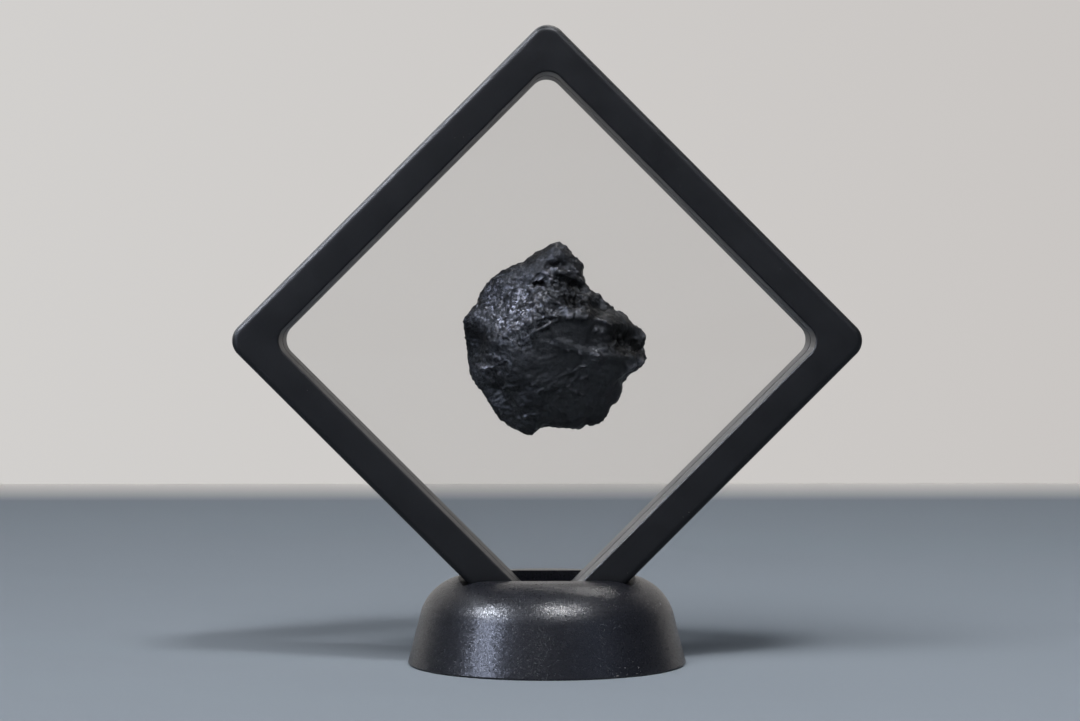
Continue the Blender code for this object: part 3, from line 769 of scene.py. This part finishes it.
def evened_stone():
    """A copy of the solid stone on an even fine mesh, a little softened."""
    stone = linked("meteorite_stone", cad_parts["meteorite"].data.copy())
    even = stone.modifiers.new("even", "REMESH")
    even.mode = "VOXEL"
    even.voxel_size = STONE_CELL
    soften = stone.modifiers.new("soften", "SMOOTH")
    soften.factor = STONE_SMOOTHING_SHARE
    soften.iterations = STONE_SMOOTHING
    return settle(stone)


def vectors_of(items, field):
    """A vector field of a mesh's points, one row for each."""
    values = np.empty(len(items) * 3)
    items.foreach_get(field, values)
    return values.reshape(-1, 3)


def fine_stone():
    noise.seed_set(STONE_SEED)
    stone = evened_stone()
    mesh = stone.data
    points = vectors_of(mesh.vertices, "co")
    normals = vectors_of(mesh.vertex_normals, "vector")
    places = (points - np.array(STONE_CENTRE)) / MM
    heights = np.empty(len(points))
    grainy = np.empty(len(points))
    for i, (place, normal) in enumerate(zip(places, normals)):
        place = Vector(place)
        heights[i], grainy[i] = stone_relief(place)
        heights[i] += rim_jag(place, Vector(normal))
    forms = form_heights(places, FINE_FORMS)
    heights += forms + form_heights(places, BROAD_FORMS)
    points += normals * (heights * MM)[:, None]
    mesh.vertices.foreach_set("co", points.ravel())
    # Above 0 the crests are rubbed; below 0 the hollows and the shade patches get painted shade.
    wear_and_painted_shade = np.clip((forms - RUBBED_START) / RUBBED_RISE - painted_shade_amount(places), -1.0, 1.0)
    for name, values in (("grainy", grainy), ("wear_and_painted_shade", wear_and_painted_shade)):
        mesh.attributes.new(name, "FLOAT", "POINT").data.foreach_set("value", values)
    mesh.update()
    shade_round(stone, STONE_SHARP_ANGLE)
    return stone


def film_lines():
    edge = WINDOW_SIDE / 2 + FILM_HOLD
    return np.linspace(-edge, edge, FILM_CELLS + 1)


def stone_reach(tree, lines, side):
    """How far the stone stands out at or beside each point of the film's grid."""
    count = len(lines)
    reach = np.zeros((count, count))
    towards = Vector((0.0, -side, 0.0))
    for i in range(count):
        for j in range(count):
            x, z = in_frame(lines[i], lines[j])
            hit = tree.ray_cast(Vector((x, side * FRAME_DEPTH, z)), towards)[0]
            if hit:
                reach[i, j] = max(0.0, hit.y * side)
    near = [(di, dj) for di in FILM_REACH for dj in FILM_REACH]
    return np.max([np.roll(reach, step, (0, 1)) for step in near], axis=0)


def stretched(floor, pinned):
    """Heights of a film that is pinned at its rim and stretched over what is under it."""
    height = floor.copy()
    rows, columns = np.indices(floor.shape)
    odd = ((rows + columns) % 2 == 1)[1:-1, 1:-1]
    free = ~pinned[1:-1, 1:-1]
    for _ in range(FILM_ROUNDS):
        for turn in (odd & free, ~odd & free):
            inner = height[1:-1, 1:-1]
            mean = (
                height[:-2, 1:-1] + height[2:, 1:-1] + height[1:-1, :-2] + height[1:-1, 2:]
            ) / 4
            pulled = inner + FILM_OVERSHOOT * (mean - inner)
            inner[turn] = np.maximum(pulled, floor[1:-1, 1:-1])[turn]
    return height


def film_layer(builder, lines, height, side):
    """One face of a film: a grid of points at their heights on its own side of the seam."""
    layer = []
    for i, u in enumerate(lines):
        row = []
        for j, v in enumerate(lines):
            x, z = in_frame(u, v)
            row.append(builder.verts.new((x, side * height[i, j], z)))
        layer.append(row)
    for i in range(len(lines) - 1):
        for j in range(len(lines) - 1):
            corners = (layer[i][j], layer[i + 1][j], layer[i + 1][j + 1], layer[i][j + 1])
            builder.faces.new(corners)
    return layer


def join_rims(builder, inner, outer):
    """Closes a film's edge between its two faces."""
    last = len(inner) - 1
    rim = [(i, 0) for i in range(last)] + [(last, j) for j in range(last)]
    rim += [(last - i, last) for i in range(last)] + [(0, last - j) for j in range(last)]
    for (i, j), (k, m) in zip(rim, rim[1:] + rim[:1]):
        builder.faces.new((inner[i][j], inner[k][m], outer[k][m], outer[i][j]))


def film(name, side, stone_tree):
    lines = film_lines()
    reach = stone_reach(stone_tree, lines, side)
    floor = np.where(reach > 0.0, reach + FILM_CLEARANCE, FILM_OFFSET)
    outside = np.abs(lines) > WINDOW_SIDE / 2
    pinned = outside[:, None] | outside[None, :]
    height = stretched(np.maximum(floor, FILM_OFFSET), pinned)
    builder = bmesh.new()
    inner = film_layer(builder, lines, height, side)
    outer = film_layer(builder, lines, height + FILM_THICKNESS, side)
    join_rims(builder, inner, outer)
    sheet = object_from(builder, name)
    shade_round(sheet, FILM_SHARP_ANGLE)
    return sheet


# Camera and stage
CAMERA_PLACE = Vector((-7.34, -559.9, 70.58)) * MM
CAMERA_PITCH = math.radians(1.02)
CAMERA_YAW = math.radians(0.61)
CAMERA_LENS = 93.3
FLOOR_HALF_WIDTH = 1.2
FLOOR_FRONT = -1.0
FLOOR_BACK = 0.58
FLOOR_FADE = 0.10
WALL_BACK = 1.3
WALL_FOOT = -0.4
WALL_TOP = 1.6
WALL_HALF_WIDTH = 2.0
WALL_FADE = 0.36
FLOOR_COLOUR = (0.222, 0.256, 0.298)
FLOOR_FAR_COLOUR = (0.70, 0.685, 0.67)
# The wall's own glow, painted light, at its left and at its right.
WALL_LEFT_GLOW = (0.645, 0.630, 0.615)
WALL_RIGHT_GLOW = (0.590, 0.567, 0.550)
SURROUND_COLOUR = (0.80, 0.88, 1.0, 1.0)
SURROUND_STRENGTH = 0.10
LAMP_TARGET = Vector((0.0, 0.0, 0.05))
WARM, COOL, BLUE = (1.0, 0.98, 0.96), (0.84, 0.89, 1.0), (0.68, 0.76, 1.0)


def camera():
    data = bpy.data.cameras.new("camera")
    data.lens = CAMERA_LENS
    data.clip_start = 0.01
    data.clip_end = 20.0
    eye = linked("camera", data)
    eye.location = CAMERA_PLACE
    eye.rotation_euler = (math.pi / 2 - CAMERA_PITCH, 0.0, -CAMERA_YAW)
    bpy.context.scene.camera = eye


def floor_material():
    """Pale grey that fades into the wall's tone at the floor's far edge."""
    material, tree, shader, place = new_material("stage_floor_pale")
    depth = add_node(tree, "ShaderNodeSeparateXYZ", {"Vector": place}).outputs["Y"]
    share = ramp(tree, depth, FLOOR_BACK - FLOOR_FADE, FLOOR_BACK)
    colour = colour_mix(tree, share, FLOOR_COLOUR, FLOOR_FAR_COLOUR)
    tree.links.new(colour, shader.inputs["Base Color"])
    shader.inputs["Roughness"].default_value = 0.9
    shader.inputs["Specular IOR Level"].default_value = 0.0
    return material


def wall_material():
    """A pale wall that glows by itself and is no lamp; its painted light is a little dimmer to the right.
    """
    material, tree, shader, place = new_material("stage_wall_glowing")
    across = add_node(tree, "ShaderNodeSeparateXYZ", {"Vector": place}).outputs["X"]
    share = ramp(tree, across, -WALL_FADE, WALL_FADE)
    colour = colour_mix(tree, share, WALL_LEFT_GLOW, WALL_RIGHT_GLOW)
    tree.links.new(colour, shader.inputs["Emission Color"])
    shader.inputs["Emission Strength"].default_value = 1.0
    shader.inputs["Base Color"].default_value = (0.0, 0.0, 0.0, 1.0)
    shader.inputs["Roughness"].default_value = 0.9
    shader.inputs["Specular IOR Level"].default_value = 0.0
    return material


def stage_sheet(name, half_width, profile, material):
    """A sheet that runs from side to side along a profile of (depth, height) places."""
    builder = bmesh.new()
    rows = []
    for x in (-half_width, half_width):
        rows.append([builder.verts.new((x, y, z)) for y, z in profile])
    for i in range(len(profile) - 1):
        builder.faces.new((rows[0][i], rows[1][i], rows[1][i + 1], rows[0][i + 1]))
    sheet = object_from(builder, name)
    sheet.data.materials.append(material)


def stage():
    """A pale floor that ends like a table top, with a pale wall well behind it."""
    floor_profile = [(FLOOR_FRONT, 0.0), (FLOOR_BACK, 0.0), (FLOOR_BACK, WALL_FOOT)]
    stage_sheet("stage_floor", FLOOR_HALF_WIDTH, floor_profile, floor_material())
    wall_profile = [(WALL_BACK, WALL_FOOT), (WALL_BACK, WALL_TOP)]
    stage_sheet("stage_wall", WALL_HALF_WIDTH, wall_profile, wall_material())


def lamp(name, azimuth, elevation, size, watts, colour, distance=0.9, seen_in="all"):
    """A soft lamp: azimuth 0 is in front of the frame and grows to its right, seen from there.

    One seen in "glints" shows only in glossy surfaces, one seen in "dull" only lights dull ones.
    """
    data = bpy.data.lights.new(name, "AREA")
    data.shape = "RECTANGLE"
    data.size, data.size_y = size
    data.energy = watts
    data.color = colour
    light = linked(name, data)
    light.visible_diffuse = seen_in != "glints"
    light.visible_glossy = seen_in != "dull"
    turn, rise = math.radians(azimuth), math.radians(elevation)
    towards = Vector(
        (math.sin(turn) * math.cos(rise), -math.cos(turn) * math.cos(rise), math.sin(rise))
    )
    light.location = LAMP_TARGET + towards * distance
    light.rotation_euler = (-towards).to_track_quat("-Z", "Y").to_euler()
    return light


def link_lights(lights, pieces, state):
    """Has the lamps light these pieces alone, for INCLUDE, or all but these, for EXCLUDE."""
    group = bpy.data.collections.new("lit_pieces")
    for piece in pieces:
        group.objects.link(piece)
    for entry in group.collection_objects:
        entry.light_linking.link_state = state
    for light in lights:
        light.light_linking.receiver_collection = group


def surround():
    world = bpy.data.worlds.new("soft_surround")
    world.use_nodes = True
    background = world.node_tree.nodes["Background"]
    background.inputs["Color"].default_value = SURROUND_COLOUR
    background.inputs["Strength"].default_value = SURROUND_STRENGTH
    bpy.context.scene.world = world


def room_lamps():
    """The soft light that everything but the films gets."""
    return [
        lamp("room_light", -20.0, 50.0, (1.4, 0.8), 27.5, WARM, distance=1.7, seen_in="dull"),
        lamp("front_ceiling", 20.0, 59.0, (0.20, 0.10), 4.2, WARM),
    ]


def glint_lamps():
    """The lamps and windows that show only as glints, in everything but the films."""
    return [
        lamp("back_ceiling", 150.0, 62.0, (0.40, 0.25), 3.0, WARM, distance=0.7, seen_in="glints"),
        lamp("left_glint", -68.0, 42.0, (0.16, 0.12), 9.0, COOL, seen_in="glints"),
        lamp("left_window", -56.0, 20.0, (0.16, 0.36), 4.6, BLUE, seen_in="glints"),
        lamp("front_glint", 20.0, 59.0, (0.14, 0.08), 8.0, COOL, seen_in="glints"),
        lamp("right_window", 43.0, 20.0, (0.50, 0.40), 0.2, (0.45, 0.62, 1.0), seen_in="glints"),
    ]


def edge_lamps():
    """Broad lamps that draw out the frame's upper left edge and lower right inner wall."""
    return [
        lamp("edge_left", -90.0, 45.0, (0.9, 0.9), 3.5, (0.93, 0.95, 1.0), seen_in="glints"),
        lamp("edge_back", -140.0, 35.0, (0.6, 0.5), 2.8, (0.96, 0.97, 1.0), distance=0.6, seen_in="glints"),
    ]


bpy.context.scene.view_settings.view_transform = "Standard"
camera()
stage()
surround()
lamps = room_lamps()
glints = glint_lamps()

stone = fine_stone()
stone.data.materials.clear()
stone.data.materials.append(meteorite_iron())
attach(stone, "root")
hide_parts("meteorite")

stone_tree = BVHTree.FromObject(stone, bpy.context.evaluated_depsgraph_get())
film_material = clear_film()
films = []
for name, side, node in FILM_PIECES:
    sheet = film(name, side, stone_tree)
    sheet.data.materials.append(film_material)
    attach(sheet, "root")
    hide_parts(node)
    films.append(sheet)
link_lights(lamps + glints, films, "EXCLUDE")

plastic = frame_plastic()
halves = []
for name, side, node in FRAME_PIECES:
    half = frame_half(name, side)
    half.data.materials.append(plastic)
    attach(half, "root")
    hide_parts(node)
    halves.append(half)
link_lights(edge_lamps(), halves, "INCLUDE")

base = stand()
base.data.materials.clear()
base.data.materials.append(stand_plastic())
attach(base, "root")
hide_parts("stand")
